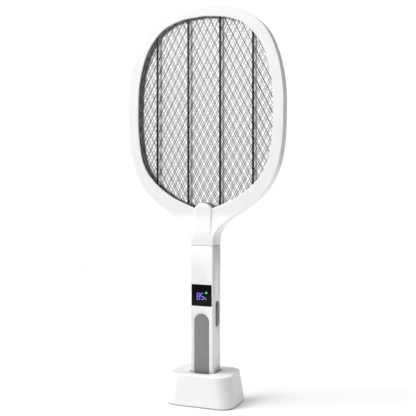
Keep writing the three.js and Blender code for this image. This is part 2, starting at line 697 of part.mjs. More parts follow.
function dock() {
  const group = new THREE.Group();
  group.add(piece('dock_housing', dockHousing(), 'white'));
  group.add(piece('dock_bottom_plate', dockBottomPlate(), 'white'));
  group.add(piece('dock_charge_board', dockChargeBoard(), 'board'));
  group.add(piece('dock_usb_socket', dockUsbSocket(), 'steel'));
  for (const [side, x] of [['left', -CONTACT_X], ['right', CONTACT_X]]) {
    group.add(piece(`charge_pin_${side}`, chargePin(x), 'brass'));
    group.add(piece(`pin_barrel_${side}`, pinBarrel(x), 'brass'));
    group.add(piece(`pin_spring_${side}`, pinSpring(x), 'steel'));
  }
  const corners = [[1, -1], [-1, -1], [-1, 1], [1, 1]];
  corners.forEach(([u, v], i) => {
    const bolt = piece(`dock_screw_${i + 1}`, screw(13), 'steel');
    bolt.position.set(u * DOCK_SCREW[0], v * DOCK_SCREW[1], DOCK_LOW - 0.2);
    group.add(bolt);
    group.add(piece(`dock_foot_${i + 1}`, dockFoot(u, v), 'dark'));
  });
  return group;
}

function rearScrew(name, x, y, z, length) {
  const bolt = piece(name, screw(length), 'steel');
  bolt.position.set(x, y, z);
  bolt.rotation.x = Math.PI / 2;
  return bolt;
}

function head() {
  const group = new THREE.Group();
  group.add(piece('head_front_shell', headFrontShell(), 'white'));
  group.add(piece('head_rear_shell', headRearShell(), 'white'));
  group.add(piece('grid_frame_front', gridFrame(-1), 'frame'));
  group.add(piece('grid_frame_rear', gridFrame(1), 'frame'));
  group.add(piece('front_net', grid(-NET_Y, 0, 5), 'steel'));
  group.add(piece('middle_net', grid(0, 0.5, -5), 'steel'));
  group.add(piece('rear_net', grid(NET_Y, 0, 5), 'steel'));
  HEAD_SCREWS.forEach(([x, z], i) => {
    group.add(rearScrew(`head_screw_${i + 1}`, x, HEAD_HALF - 0.1, z, 11.5));
  });
  return group;
}

function handle() {
  const group = new THREE.Group();
  group.add(piece('handle_front_shell', handleFrontShell(), 'white'));
  group.add(piece('handle_rear_shell', handleRearShell(), 'white'));
  group.add(piece('handle_end_cap', handleEndCap(), 'white'));
  group.add(piece('grip_pad', gripPad(), 'rubber'));
  group.add(piece('display_window', squareWindow(WINDOW_HALF, HANDLE_HY - 1.2, HANDLE_HY), 'glass'));
  group.add(piece('display_module', displayModule(), 'dark'));
  group.add(piece('zap_button', zapButton(), 'button'));
  group.add(piece('trigger_switch', triggerSwitch(), 'dark'));
  group.add(piece('battery_cell', rodZ(0, 0, CELL_LOW, CELL_LOW + CELL_LONG, CELL_R, 28), 'cell'));
  group.add(piece('battery_tab_bottom', batteryTab(CELL_LOW - 0.9, -1), 'steel'));
  group.add(piece('battery_tab_top', batteryTab(CELL_LOW + CELL_LONG + GAP, 1), 'steel'));
  group.add(piece('main_board', mainBoard(), 'board'));
  group.add(piece('hv_transformer', transformer(), 'coil'));
  group.add(piece('hv_capacitor', capacitor(), 'film'));
  group.add(piece('bleed_resistor', resistor(), 'coil'));
  group.add(piece('switching_transistor', transistor(), 'dark'));
  group.add(piece('hv_wire', hvWire(), 'red'));
  group.add(piece('ground_wire_front', groundWire(-1), 'black'));
  group.add(piece('ground_wire_rear', groundWire(1), 'black'));
  group.add(piece('charge_contact_left', chargeContact(-CONTACT_X), 'brass'));
  group.add(piece('charge_contact_right', chargeContact(CONTACT_X), 'brass'));
  HANDLE_SCREWS.forEach((z, i) => {
    group.add(rearScrew(`handle_screw_${i + 1}`, 0, HANDLE_HY - 0.6, z, 18));
  });
  return group;
}

const flySwatter = new THREE.Group();
flySwatter.add(dock(), head(), handle());

export default flySwatter;
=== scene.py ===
"""Electric fly swatter standing in its charging dock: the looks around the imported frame.

Shapes are drawn in millimetres and become metres where a mesh is made. +Z is up, the front
is towards -Y, and the racket's axis is the Z axis.
"""

import json
import math

import bmesh
import bpy
import numpy as np
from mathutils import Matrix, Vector


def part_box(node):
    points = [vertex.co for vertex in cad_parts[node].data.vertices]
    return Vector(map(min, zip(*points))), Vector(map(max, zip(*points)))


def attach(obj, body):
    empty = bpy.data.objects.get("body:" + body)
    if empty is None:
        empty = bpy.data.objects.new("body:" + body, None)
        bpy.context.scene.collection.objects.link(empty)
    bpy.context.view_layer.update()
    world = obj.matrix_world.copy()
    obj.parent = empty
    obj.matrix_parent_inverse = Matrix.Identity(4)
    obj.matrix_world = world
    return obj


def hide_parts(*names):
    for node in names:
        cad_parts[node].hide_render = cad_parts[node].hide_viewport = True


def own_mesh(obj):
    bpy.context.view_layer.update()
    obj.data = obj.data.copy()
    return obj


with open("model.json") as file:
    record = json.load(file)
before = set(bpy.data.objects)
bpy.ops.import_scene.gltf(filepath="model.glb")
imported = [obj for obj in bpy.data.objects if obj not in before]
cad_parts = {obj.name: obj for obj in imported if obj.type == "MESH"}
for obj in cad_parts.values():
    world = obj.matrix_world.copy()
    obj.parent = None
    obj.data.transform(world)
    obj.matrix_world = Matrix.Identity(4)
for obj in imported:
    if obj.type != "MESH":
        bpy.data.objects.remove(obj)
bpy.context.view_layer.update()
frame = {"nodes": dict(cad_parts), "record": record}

MM = 0.001
SHARP_ANGLE = 32      # in degrees
AXIS_R = 0.01         # a turned profile's smallest radius

# ------------------------------------------------------------------ driving dimensions, in mm
SEAM = 0.15           # half of the joint line between two shells
HEAD_HALF = 8.4       # half thickness of the head
HEAD_FACE = 1.8       # thickness of the head's flat face
HEAD_WALL = 2.0
HEAD_MIDDLE = 347     # height of the head's widest line
FRONT_EDGE = 0.8      # radius of the head's outer edge in front, and at the rear
REAR_EDGE = 3.0
EDGE_LOW = 195        # between these heights that radius turns into the handle's
EDGE_HIGH = 235
NECK_END = 188
NECK_TAIL = 182       # the outline runs on to here and is then cut square at the neck's end
CORNER_STEP = 5       # first step along the tail, longer than any edge's radius
OUTER = [             # right half of the head's outline, from the top down
    (0, 474.5), (30, 471.6), (56.5, 461.4), (78.2, 442), (91.5, 413.3), (98.5, 378), (99.4, 345),
    (97.5, 308), (91.2, 279), (78.6, 255), (58.6, 235.7), (38.2, 222.1), (24.6, 212), (17.2, 201.5),
    (15, 190), (15, 148),
]
OPENING = [           # right half of the opening, which ends in a blunt V
    (0, 461.4), (29.4, 457.9), (52, 448.4), (67.8, 431.6), (77.6, 412.5), (84.4, 385), (86.4, 347),
    (85, 314), (79, 284.6), (66.4, 265), (42, 245.6), (12, 232.3), (0, 227),
]
HUMP_R = 13.6         # round hump that rises into the opening's lower end
HUMP_TOP = 238.3
SWELL_TOP = 228       # between these heights the neck swells to the handle's thickness
SWELL_LOW = 192
SPINE_HALF = 12.2
SPINE_RISE = 1.5      # how far the spine stands out from the neck at its top
SPINE_FADE = 194      # it has faded away at this height
SPINE_DOME = 226
LIP_ROUND = 0.9       # radius of the opening's edge
LIP_STEP = 0.6        # from the opening's edge to the rim of its inner side
CURVE_STEPS = 24      # points on each stretch of the head's two outlines
SMOOTH_STEPS = 12     # and on the coarser outline that nets and frames follow
INNER_TURN = (16, 234)                    # where the opening's spacing changes, near its low end
STOP_COUNTS = (64, 44, 28, 26, 1, 17)     # points from each stop on an outline to the next
ROUND_RINGS = 6       # rings over a rounded edge, across the face and across its inner side
FACE_RINGS = 40
INNER_RINGS = 16

SLEEVE_LOW = 180.5    # the sleeve that joins the head to the handle
SLEEVE_TOP = 191.5
SLEEVE_GAP = 0.3
SLEEVE_WALL = 1.6
SLEEVE_CORNER = 1.6
SLEEVE_INNER_CORNER = 0.9
SHOULDER_INSET = 1.2
SHOULDER_LIFT = 0.1

NET_Y = 6.05          # distance of the outer nets from the middle plane
NET_THICK = 0.42
NET_GRIP = 3.0        # how far a net reaches under the lip
MESH_W = 9.3          # width and height of one diamond
MESH_H = 17.8
NET_COLUMNS = 21      # half diamonds from the middle to each side, enough to be cut to shape
NET_ROWS = 15
STRAND = 0.56         # width of the front net's strands, and of those behind it
BACK_STRAND = 0.7
BAND_STRAIGHT = 243   # below this height nets and frames run straight to their low edge
BAND_END = 9
FRAME_LOW = 221       # low edge of a grid frame, and of a net, its strands and its rim's hole
NET_LOW = 227
STRANDS_LOW = 227.4
RIM_HOLE_LOW = 233
STRANDS_INSET = 0.4
NET_RIM = 1.5
NET_RIM_PROUD = 0.03
LEDGE = 1.8           # how far the grid frames show inside the lip
FRAME_GRIP = 4.6
FRAME_Y = (0.45, 5.5)
RIB_PITCH = 41.1
RIB_HALF = 1.3
FRONT_RIB = (4.2, 5.48)           # distances of the ribs' sides from the middle plane
REAR_RIB = (0.47, 5.48)
FRAME_EDGE = 0.25
RIB_SIDE_AREA = 20    # in mm2, less than any long side of a rib and more than its rounded edges
PAST = 1              # how far a cutting shape runs past a face

SEAT_R = 2.9          # recess of a screw's head, and its depth in each shell
HEAD_SEAT = 1.6
HANDLE_SEAT = 2
SEAT_PAST = 2
SCREW_SET = 1.2       # from the highest point of a screw's head down to its seat
SCREW_PROFILE = [     # radius and height
    (0, 1.2), (1.4, 1.18), (2.1, 0.95), (2.42, 0.5), (2.5, 0.1), (2.4, 0), (1.2, -0.1), (1.2, -8),
    (0.9, -8.5), (0, -8.5),
]
CROSS_HALF = (1.3, 0.3)                   # half length and half width of the recess's arms
CROSS_LEVELS = ((0.35, 0.6), (1.4, 1.0))  # heights, and the share of that size
CROSS_CORNER = 0.1

HANDLE_HX = 15
HANDLE_HY = 13.2
CORNER_FRONT = 2.2
CORNER_REAR = 4
CORNER_FRONT_INNER = 1.2
CORNER_REAR_INNER = 2.4
SKIN = 2.2
SHELL_EDGE = 0.22     # rounding of the handle shells' edges
HANDLE_LOW = 16.6
HANDLE_TOP = 187.6
PAD_HALF = 9.15
PAD_LOW = 18.5
PAD_TOP = 106.8
PAD_GAP = 0.25
PAD_PROUD = 0.5
PAD_DEEP = 1
PAD_EDGE = 0.4
PAD_RECESS_LOW = 10   # the recess runs out through the handle's lower end
PAD_RECESS = 1.2
WINDOW_HALF = 12.75
WINDOW_MID = 128.7
WINDOW_CORNER = 1.1
WINDOW_EDGE = 0.2
WINDOW_GAP = 0.2
WINDOW_THICK = 1.2
WINDOW_RECESS = 1.4
RECESS_CORNER = 1.2
BUTTON_MID = 105.6
BUTTON_HALF_Z = 15.2
BUTTON_HALF_Y = 4.8
BUTTON_GAP = 0.3
BUTTON_PROUD = 1.2
BUTTON_HOLE_X = (5, 20)
FLANGE_WIDER = 1.3    # the flange that keeps the button in, and the X of its two sides
FLANGE_X = (11.4, 12.5)
CAP_INSET = 0.9       # how far the cap's rounded edge comes in, at its sides and at its ends
CAP_SHORTER = 2.4
CAP_EDGE = 0.75       # the height of that edge, and of the shallow crown inside it
CAP_CROWN = 0.15
CROWN_RINGS = ((2.4, 3.2, 0.03), (3.8, 3.8, 0))   # inset, shortening, depth below the top

DOCK_LOW = 1
DOCK_TOP = 37
DOCK_FOOT = (43.5, 30.8, 17.5)    # half width, half depth and corner radius at the bottom
DOCK_HEAD = (38.4, 28, 17.7)      # and at the top
DOCK_WALL = 2.4
DOCK_ROOF = 34.6
SOCKET = (17.6, 17.4, 12)
CHANNEL = (10.5, 4, 12)    # groove in the cup's floor: half sizes and the height of its bottom
CUP_FLOOR = 13
CUP_WALL = 2
DOCK_SKIRT = 3        # the dock's sides rise straight to this height, then lean in
DOCK_CORNER_STEPS = 14
DOCK_LOW_ROUND = 0.7
DOCK_TOP_ROUND = 1.5
SOCKET_ROUND = 0.8
PIN_X = 6             # the charging pins' holes stand this far from the middle
PIN_HOLE_R = 1.8
PIN_HOLE_DEEP = 4
PORT_HALF = (1.95, 4.85)          # half height and half width of the charging port
PORT_MID = 7.5
PORT_Y = (25, 40)
SPRING_WIRE = 0.17    # radius of a pin spring's wire
SPRING_TURNS = 3

# ------------------------------------------------------------------ camera
AZIMUTH = math.radians(22)        # the eye is this far round to the right of the front
DISTANCE = 0.93
EYE_HEIGHT = 0.2706

camera = bpy.data.objects.new("camera", bpy.data.cameras.new("camera"))
camera.data.lens = 66.9
camera.data.sensor_width = 36
camera.data.shift_x = 0.0055
camera.data.shift_y = -0.0772
camera.location = (DISTANCE * math.sin(AZIMUTH), -DISTANCE * math.cos(AZIMUTH), EYE_HEIGHT)
camera.rotation_euler = (math.pi / 2, 0, AZIMUTH)
bpy.context.scene.collection.objects.link(camera)
bpy.context.scene.camera = camera


# ------------------------------------------------------------------ meshes
def piece_of(name, points, faces):
    """A mesh object from points in millimetres, with its faces turned outwards."""
    mesh = bpy.data.meshes.new(name)
    mesh.from_pydata((np.asarray(points, float) * MM).tolist(), [], faces)
    work = bmesh.new()
    work.from_mesh(mesh)
    bmesh.ops.remove_doubles(work, verts=work.verts, dist=1e-7)
    bmesh.ops.recalc_face_normals(work, faces=work.faces)
    work.to_mesh(mesh)
    work.free()
    piece = bpy.data.objects.new(name, mesh)
    bpy.context.scene.collection.objects.link(piece)
    return piece


def skin(name, rings, closed=False):
    """A closed surface over rings of equal length. Unless they run in a circle, the ends are filled."""
    count = len(rings[0])
    levels = len(rings)
    faces = []
    for a in range(levels if closed else levels - 1):
        b = (a + 1) % levels
        for i in range(count):
            j = (i + 1) % count
            faces.append((a * count + i, a * count + j, b * count + j, b * count + i))
    if not closed:
        faces.append(tuple(range(count)))
        faces.append(tuple(range((levels - 1) * count, levels * count)))
    return piece_of(name, np.concatenate(rings), faces)


def apply_modifiers(piece):
    graph = bpy.context.evaluated_depsgraph_get()
    made = bpy.data.meshes.new_from_object(piece.evaluated_get(graph))
    old = piece.data
    piece.modifiers.clear()
    piece.data = made
    bpy.data.meshes.remove(old)
    made.name = piece.name


def combine(piece, tool, operation):
    """Boolean of a piece with a tool, which is used up."""
    modifier = piece.modifiers.new("boolean", "BOOLEAN")
    modifier.operation = operation
    modifier.object = tool
    modifier.solver = "EXACT"
    apply_modifiers(piece)
    bpy.data.objects.remove(tool)
    return piece


def soften(piece, width):
    """Rounds every edge sharper than the sharp angle by a width in millimetres."""
    modifier = piece.modifiers.new("bevel", "BEVEL")
    modifier.width = width * MM
    modifier.segments = 2
    modifier.limit_method = "ANGLE"
    modifier.angle_limit = math.radians(SHARP_ANGLE)
    modifier.miter_outer = "MITER_ARC"
    apply_modifiers(piece)
    return piece


def shade(piece, angle=SHARP_ANGLE):
    """Smooth shading, except across edges sharper than an angle."""
    piece.data.shade_smooth()
    piece.data.set_sharp_from_angle(angle=math.radians(angle))
    return piece


# ------------------------------------------------------------------ flat outlines
# An outline is an array of (x, z) points that runs clockwise as seen from the front.
def curve_through(controls, steps):
    """Centripetal Catmull-Rom curve through the control points."""
    points = np.array(controls, float)
    points = np.vstack([2 * points[0] - points[1], points, 2 * points[-1] - points[-2]])
    made = []
    for i in range(1, len(points) - 2):
        p0, p1, p2, p3 = points[i - 1:i + 3]
        d0, d1, d2 = (max(math.dist(a, b), 1e-6) ** 0.5 for a, b in ((p0, p1), (p1, p2), (p2, p3)))
        m1 = ((p1 - p0) / d0 - (p2 - p0) / (d0 + d1) + (p2 - p1) / d1) * d1
        m2 = ((p2 - p1) / d1 - (p3 - p1) / (d1 + d2) + (p3 - p2) / d2) * d1
        for t in np.arange(steps) / steps:
            h = (2 * t**3 - 3 * t**2 + 1, t**3 - 2 * t**2 + t, -2 * t**3 + 3 * t**2, t**3 - t**2)
            made.append(h[0] * p1 + h[1] * m1 + h[2] * p2 + h[3] * m2)
    made.append(points[-2])
    return np.array(made)


def spread(path, start, stop, count):
    """Points at equal distances along a path between two of its lengths, without the last one."""
    steps = np.linalg.norm(np.diff(path, axis=0), axis=1)
    length = np.concatenate([[0], np.cumsum(steps)])
    at = np.linspace(start, stop, count, endpoint=False)
    return np.column_stack([np.interp(at, length, path[:, k]) for k in (0, 1)])


def length_at(path, index):
    return np.linalg.norm(np.diff(path[:index + 1], axis=0), axis=1).sum()


def mirrored(right):
    """The closed outline whose right half runs from the top's middle to the bottom's middle."""
    left = right[1:-1][::-1] * (-1, 1)
    return np.vstack([right, left])


def offset(outline, distance):
    """Moves every side of an outline outwards by a distance, inwards if it is negative."""
    side = np.roll(outline, -1, 0) - outline
    normal = np.column_stack([-side[:, 1], side[:, 0]])
    normal /= np.linalg.norm(normal, axis=1, keepdims=True)
    before = np.roll(normal, 1, 0)
    scale = distance / (1 + (normal * before).sum(1))
    return outline + (normal + before) * scale[:, None]


def round_box(half_x, half_z, radius, corner_steps=8, centre=(0, 0)):
    """Rounded rectangle, which starts at its upper right corner."""
    points = []
    for corner, (sx, sz) in enumerate(((1, 1), (1, -1), (-1, -1), (-1, 1))):
        for i in range(corner_steps + 1):
            a = math.pi / 2 * (1 - corner - i / corner_steps)
            points.append((
                centre[0] + sx * (half_x - radius) + radius * math.cos(a),
                centre[1] + sz * (half_z - radius) + radius * math.sin(a)))
    return np.array(points)


def ring_xz(outline, y):
    return np.column_stack([outline[:, 0], np.full(len(outline), y), outline[:, 1]])


def ring_xy(outline, z):
    return np.column_stack([outline[:, 0], outline[:, 1], np.full(len(outline), z)])


def slab(name, outline, front, rear, round_front=0.0):
    """A plate with an outline in the X-Z plane. Its front edge may be rounded."""
    steps = 4 if round_front else 0
    rings = []
    for i in range(steps + 1):
        a = math.pi / 2 * i / max(steps, 1)
        inset = round_front * (1 - math.sin(a))
        rings.append(ring_xz(offset(outline, -inset), front + round_front * (1 - math.cos(a))))
    rings.append(ring_xz(outline, rear))
    return skin(name, rings)


def circle(centre, radius, steps=32):
    angles = -np.arange(steps) / steps * 2 * math.pi
    return np.column_stack([centre[0] + radius * np.cos(angles), centre[1] + radius * np.sin(angles)])


# ------------------------------------------------------------------ the head's shape
def head_paths():
    """Matching points of the head's outline and of its opening, each a closed outline."""
    outer = curve_through(OUTER, CURVE_STEPS)
    outer = outer[outer[:, 1] > NECK_TAIL + 0.5]
    tail = [(x, NECK_TAIL) for x in (HANDLE_HX, HANDLE_HX - CORNER_STEP, 0)]
    outer = np.vstack([outer, tail])
    inner = curve_through(OPENING, CURVE_STEPS)
    centre = HUMP_TOP - HUMP_R
    inner = inner[np.hypot(inner[:, 0], inner[:, 1] - centre) > HUMP_R + 0.01]
    notch = inner[-1]
    start = math.atan2(notch[1] - centre, notch[0])
    arc = [(HUMP_R * math.cos(a), centre + HUMP_R * math.sin(a))
           for a in np.linspace(start, math.pi / 2, 25)]
    corner = len(inner)
    inner = np.vstack([inner, arc])

    def nearest(path, point):
        return length_at(path, int(np.argmin(np.hypot(*(path - point).T))))

    outer_stops = [nearest(outer, p) for p in (OUTER[0], OUTER[6], OUTER[10], OUTER[12])]
    outer_stops += [length_at(outer, len(outer) - k) for k in (3, 2, 1)]
    inner_stops = [nearest(inner, p) for p in (OPENING[0], OPENING[6], OPENING[10], INNER_TURN)]
    inner_stops += [length_at(inner, k) for k in (corner, corner + 2, len(inner) - 1)]
    halves = []
    for path, stops in ((outer, outer_stops), (inner, inner_stops)):
        parts = [spread(path, a, b, n) for a, b, n in zip(stops, stops[1:], STOP_COUNTS)]
        halves.append(mirrored(np.vstack([*parts, path[-1:]])))
    return halves


head_outline, opening_outline = head_paths()
opening_smooth = mirrored(curve_through(OPENING, SMOOTH_STEPS))


def ramp(low, high, value):
    t = np.clip((value - low) / (high - low), 0, 1)
    return t * t * (3 - 2 * t)


def depth(points):
    """Distance of the head's surface from the middle plane."""
    x, z = points[:, 0], points[:, 1]
    base = HEAD_HALF + (HANDLE_HY - HEAD_HALF) * (1 - ramp(SWELL_LOW, SWELL_TOP, z))
    rise = np.maximum(z - SPINE_DOME, 0) / (HUMP_TOP - SPINE_DOME)
    column = 1 - ramp(0.35, 1.05, np.abs(x / SPINE_HALF) ** 4 + rise**2.5)
    return base + SPINE_RISE * column * ramp(SPINE_FADE, SPINE_DOME, z)


def head_shell(name, side, edge, corner):
    """Half of the head as a hollow shell. Its rings follow the section from the seam round the
    outer edge, over the face to the opening, and back along the inside."""
    rings = []

    def add(outline, y):
        rings.append(np.column_stack([outline[:, 0], side * y, outline[:, 1]]))

    radius = edge + (corner - edge) * (1 - ramp(EDGE_LOW, EDGE_HIGH, head_outline[:, 1]))
    add(head_outline, np.full(len(head_outline), SEAM))
    for a in np.linspace(0, math.pi / 2, ROUND_RINGS):
        outline = offset(head_outline, -radius * (1 - math.cos(a)))
        add(outline, depth(outline) - radius * (1 - math.sin(a)))
    start = offset(head_outline, -radius)
    stop = offset(opening_outline, LIP_ROUND)
    for t in np.linspace(0, 1, FACE_RINGS)[1:-1]:
        outline = start + (stop - start) * t
        add(outline, depth(outline))
    for a in np.linspace(math.pi / 2, 0, ROUND_RINGS):
        outline = offset(opening_outline, LIP_ROUND * (1 - math.cos(a)))
        add(outline, depth(outline) - LIP_ROUND * (1 - math.sin(a)))
    add(opening_outline, depth(opening_outline) - HEAD_FACE)
    start = offset(opening_outline, LIP_STEP)
    stop = offset(head_outline, -HEAD_WALL)
    for t in np.linspace(0, 1, INNER_RINGS):
        outline = start + (stop - start) * t
        add(outline, depth(outline) - HEAD_FACE)
    add(stop, np.full(len(stop), SEAM))
    shell = skin(name, rings, closed=True)
    cut_below(shell, NECK_END)
    return combine(shell, neck_sleeve(side), "UNION")


def cut_below(piece, height):
    """Cuts a piece off square at a height and closes the cut."""
    work = bmesh.new()
    work.from_mesh(piece.data)
    parts = work.verts[:] + work.edges[:] + work.faces[:]
    bmesh.ops.bisect_plane(
        work, geom=parts, plane_co=(0, 0, height * MM), plane_no=(0, 0, 1), clear_inner=True)
    rim = [edge for edge in work.edges if edge.is_boundary]
    bmesh.ops.contextual_create(work, geom=rim)
    bmesh.ops.recalc_face_normals(work, faces=work.faces)
    work.to_mesh(piece.data)
    work.free()


def half_tube(name, side, levels, wall, corner, inner_corner):
    """One half of a rectangular tube, as an extruded C. A level is (height, half width, half depth),
    and every level shares the hole of the first one."""
    rings = []
    for z, half_x, half_y in levels:
        outside = round_box(half_x, half_y, corner)
        inside = round_box(levels[0][1] - wall, levels[0][2] - wall, inner_corner)
        hole = inside[:, 0].max()
        over = [p for p in outside if p[1] > 0]
        under = [p for p in inside if p[1] > 0]
        profile = [(half_x, SEAM), *sorted(over, key=around), (-half_x, SEAM)]
        profile += [(-hole, SEAM), *sorted(under, key=around)[::-1], (hole, SEAM)]
        rings.append(ring_xy(np.array(profile) * (1, side), z))
    return skin(name, rings)


def around(point):
    return math.atan2(point[1], point[0])


def neck_sleeve(side):
    """The sleeve under the neck that sits inside the handle, with a shoulder inside the neck."""
    tube = (HANDLE_HX - SKIN - SLEEVE_GAP, HANDLE_HY - SKIN - SLEEVE_GAP)
    shoulder = (HANDLE_HX - SHOULDER_INSET, HANDLE_HY - SHOULDER_INSET)
    turn = NECK_END + SHOULDER_LIFT
    levels = [(SLEEVE_LOW, *tube), (turn, *tube), (turn, *shoulder), (SLEEVE_TOP, *shoulder)]
    return half_tube("sleeve", side, levels, SLEEVE_WALL, SLEEVE_CORNER, SLEEVE_INNER_CORNER)


def screw_seat(node, front, rear):
    """The round recess in which a rear screw's head lies, as a cutting shape."""
    low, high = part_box(node)
    middle = (low + high) / 2 / MM
    return slab("seat", circle((middle.x, middle.z), SEAT_R), front, rear)


def box_piece(name, low, high):
    middle = (np.add(low, high)) / 2
    half = (np.subtract(high, low)) / 2
    outline = np.array([(1, 1), (1, -1), (-1, -1), (-1, 1)]) * half[[0, 2]] + middle[[0, 2]]
    return slab(name, outline, low[1], high[1])


# ------------------------------------------------------------------ materials
def new_material(name):
    material = bpy.data.materials.new(name)
    material.use_nodes = True
    tree = material.node_tree
    shader = tree.nodes["Principled BSDF"]
    place = tree.nodes.new("ShaderNodeTexCoord")
    return material, tree, shader, place.outputs["Object"]


def noise(tree, place, scale, detail, roughness=0.5, distortion=0.0):
    node = tree.nodes.new("ShaderNodeTexNoise")
    node.inputs["Scale"].default_value = scale
    node.inputs["Detail"].default_value = detail
    node.inputs["Roughness"].default_value = roughness
    node.inputs["Distortion"].default_value = distortion
    tree.links.new(place, node.inputs["Vector"])
    return node.outputs["Fac"]


def between(tree, value, low, high):
    """Spreads a noise, which seldom leaves 0.3 to 0.7, over a range."""
    node = tree.nodes.new("ShaderNodeMapRange")
    for key, number in zip(("From Min", "From Max", "To Min", "To Max"), (0.3, 0.7, low, high)):
        node.inputs[key].default_value = number
    tree.links.new(value, node.inputs["Value"])
    return node.outputs["Result"]


def blend_colours(tree, value, dark, light):
    node = tree.nodes.new("ShaderNodeMix")
    node.data_type = "RGBA"
    node.inputs["A"].default_value = (*dark, 1)
    node.inputs["B"].default_value = (*light, 1)
    tree.links.new(value, node.inputs["Factor"])
    return node.outputs["Result"]


def bump(tree, shader, height, strength, distance):
    node = tree.nodes.new("ShaderNodeBump")
    node.inputs["Strength"].default_value = strength
    node.inputs["Distance"].default_value = distance
    tree.links.new(height, node.inputs["Height"])
    tree.links.new(node.outputs["Normal"], shader.inputs["Normal"])


def plastic(name, dark, light, rough=(0.28, 0.36), grain=2600.0, relief=0.00002, strength=0.25,
            gloss=0.5):
    """Moulded plastic: a faint drift of colour, a satin gloss that varies, and a fine grain."""
    material, tree, shader, place = new_material(name)
    drift = between(tree, noise(tree, place, 14, 4), 0, 1)
    tree.links.new(blend_colours(tree, drift, dark, light), shader.inputs["Base Color"])
    smears = noise(tree, place, 45, 5, 0.6, 0.4)
    tree.links.new(between(tree, smears, *rough), shader.inputs["Roughness"])
    shader.inputs["Specular IOR Level"].default_value = gloss
    shader.inputs["IOR"].default_value = 1.52
    bump(tree, shader, noise(tree, place, grain, 2), strength, relief)
    return material


def metal(name, dark, light, rough=(0.24, 0.4)):
    """Plated or drawn metal: fine marks in its gloss and a slight drift of tone."""
    material, tree, shader, place = new_material(name)
    shader.inputs["Metallic"].default_value = 1
    drift = between(tree, noise(tree, place, 120, 4), 0, 1)
    tree.links.new(blend_colours(tree, drift, dark, light), shader.inputs["Base Color"])
    marks = noise(tree, place, 900.0, 4, 0.6, 0.2)
    tree.links.new(between(tree, marks, *rough), shader.inputs["Roughness"])
    bump(tree, shader, marks, 0.2, 0.00002)
    return material


def glowing(name, colour, strength):
    """A lit segment whose glow is slightly speckled."""
    material, tree, shader, place = new_material(name)
    speckle = between(tree, noise(tree, place, 2200, 2), 0, 1)
    dim = tuple(0.75 * part for part in colour)
    tree.links.new(blend_colours(tree, speckle, dim, colour), shader.inputs["Emission Color"])
    tree.links.new(blend_colours(tree, speckle, dim, colour), shader.inputs["Base Color"])
    shader.inputs["Emission Strength"].default_value = strength
    shader.inputs["Roughness"].default_value = 0.4
    return material


white = plastic("white_plastic", (0.83, 0.83, 0.825), (0.87, 0.87, 0.865))
black_frame = plastic("black_frame_plastic", (0.007, 0.0075, 0.005), (0.014, 0.015, 0.01),
                      rough=(0.35, 0.5), grain=1800.0, gloss=0.12)
# Pale rib sides: a painted highlight on the black ribs, where the real ones catch light.
rib_side_painted_highlight = plastic("rib_side_painted_highlight", (0.9, 0.9, 0.87), (0.94, 0.94, 0.91), rough=(0.35, 0.5), grain=1800.0)
grip_rubber = plastic("grip_rubber", (0.21, 0.213, 0.22), (0.25, 0.253, 0.262),
                      rough=(0.55, 0.7), grain=1500.0, relief=0.00006, strength=0.5)
button_grey = plastic("button_grey", (0.13, 0.132, 0.138), (0.165, 0.167, 0.174),
                      rough=(0.4, 0.52), grain=1900.0, relief=0.00004, strength=0.4)
smoked = plastic("display_black", (0.003, 0.003, 0.004), (0.006, 0.006, 0.007),
                 rough=(0.06, 0.12), grain=300.0, relief=0.000004, strength=0.1, gloss=0.12)
dark_plastic = plastic("dark_plastic", (0.022, 0.022, 0.024), (0.04, 0.04, 0.043), rough=(0.45, 0.6))
board_green = plastic("circuit_board", (0.01, 0.1, 0.045), (0.02, 0.17, 0.075), rough=(0.25, 0.4))
cell_wrap = plastic("battery_wrap", (0.04, 0.14, 0.36), (0.06, 0.19, 0.45), rough=(0.2, 0.32))
amber = plastic("amber_winding", (0.42, 0.2, 0.03), (0.55, 0.3, 0.05), rough=(0.25, 0.45), grain=4000.0)
epoxy = plastic("red_epoxy", (0.28, 0.03, 0.015), (0.36, 0.05, 0.025), rough=(0.15, 0.3))
wire_red = plastic("wire_red", (0.4, 0.015, 0.015), (0.5, 0.03, 0.025), rough=(0.4, 0.55))
wire_black = plastic("wire_black", (0.012, 0.012, 0.012), (0.025, 0.025, 0.025), rough=(0.4, 0.55))
steel = metal("steel", (0.52, 0.525, 0.53), (0.66, 0.665, 0.67))
# The nets share one steel in three tones by layer: the front net darkened to near black and the middle
# one to mid grey as painted shade, the rear one left lightest as painted light.
front_net_painted_shade = metal("front_net_painted_shade", (0.03, 0.0302, 0.0306), (0.055, 0.0555, 0.056), rough=(0.3, 0.45))
middle_mesh = metal("middle_mesh", (0.27, 0.272, 0.275), (0.35, 0.353, 0.357), rough=(0.35, 0.5))
rear_net_painted_light = metal("rear_net_painted_light", (0.4, 0.402, 0.405), (0.5, 0.503, 0.507), rough=(0.35, 0.5))
brass = metal("brass", (0.66, 0.46, 0.17), (0.8, 0.6, 0.27), rough=(0.2, 0.34))
digit_glow = glowing("digit_glow", (0.2, 0.15, 0.7), 0.9)
dot_glow = glowing("dot_glow", (0.12, 0.42, 0.11), 0.8)


def dress(piece, material, slot, body, *nodes):
    """Gives a finished piece its material and the body it rides on. The slot is not used."""
    piece.data.materials.clear()
    piece.data.materials.append(material)
    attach(piece, body)
    if nodes:
        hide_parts(*nodes)
    return piece


# ------------------------------------------------------------------ head
front_shell = head_shell("head_front_cover", -1, FRONT_EDGE, CORNER_FRONT)
dress(shade(front_shell), white, "white_plastic", "racket", "head_front_shell")

rear_shell = head_shell("head_rear_cover", 1, REAR_EDGE, CORNER_REAR)
for number in range(1, 7):
    seat = screw_seat(f"head_screw_{number}", HEAD_HALF - HEAD_SEAT, HEAD_HALF + SEAT_PAST)
    combine(rear_shell, seat, "DIFFERENCE")
dress(shade(rear_shell), white, "white_plastic", "racket", "head_rear_shell")


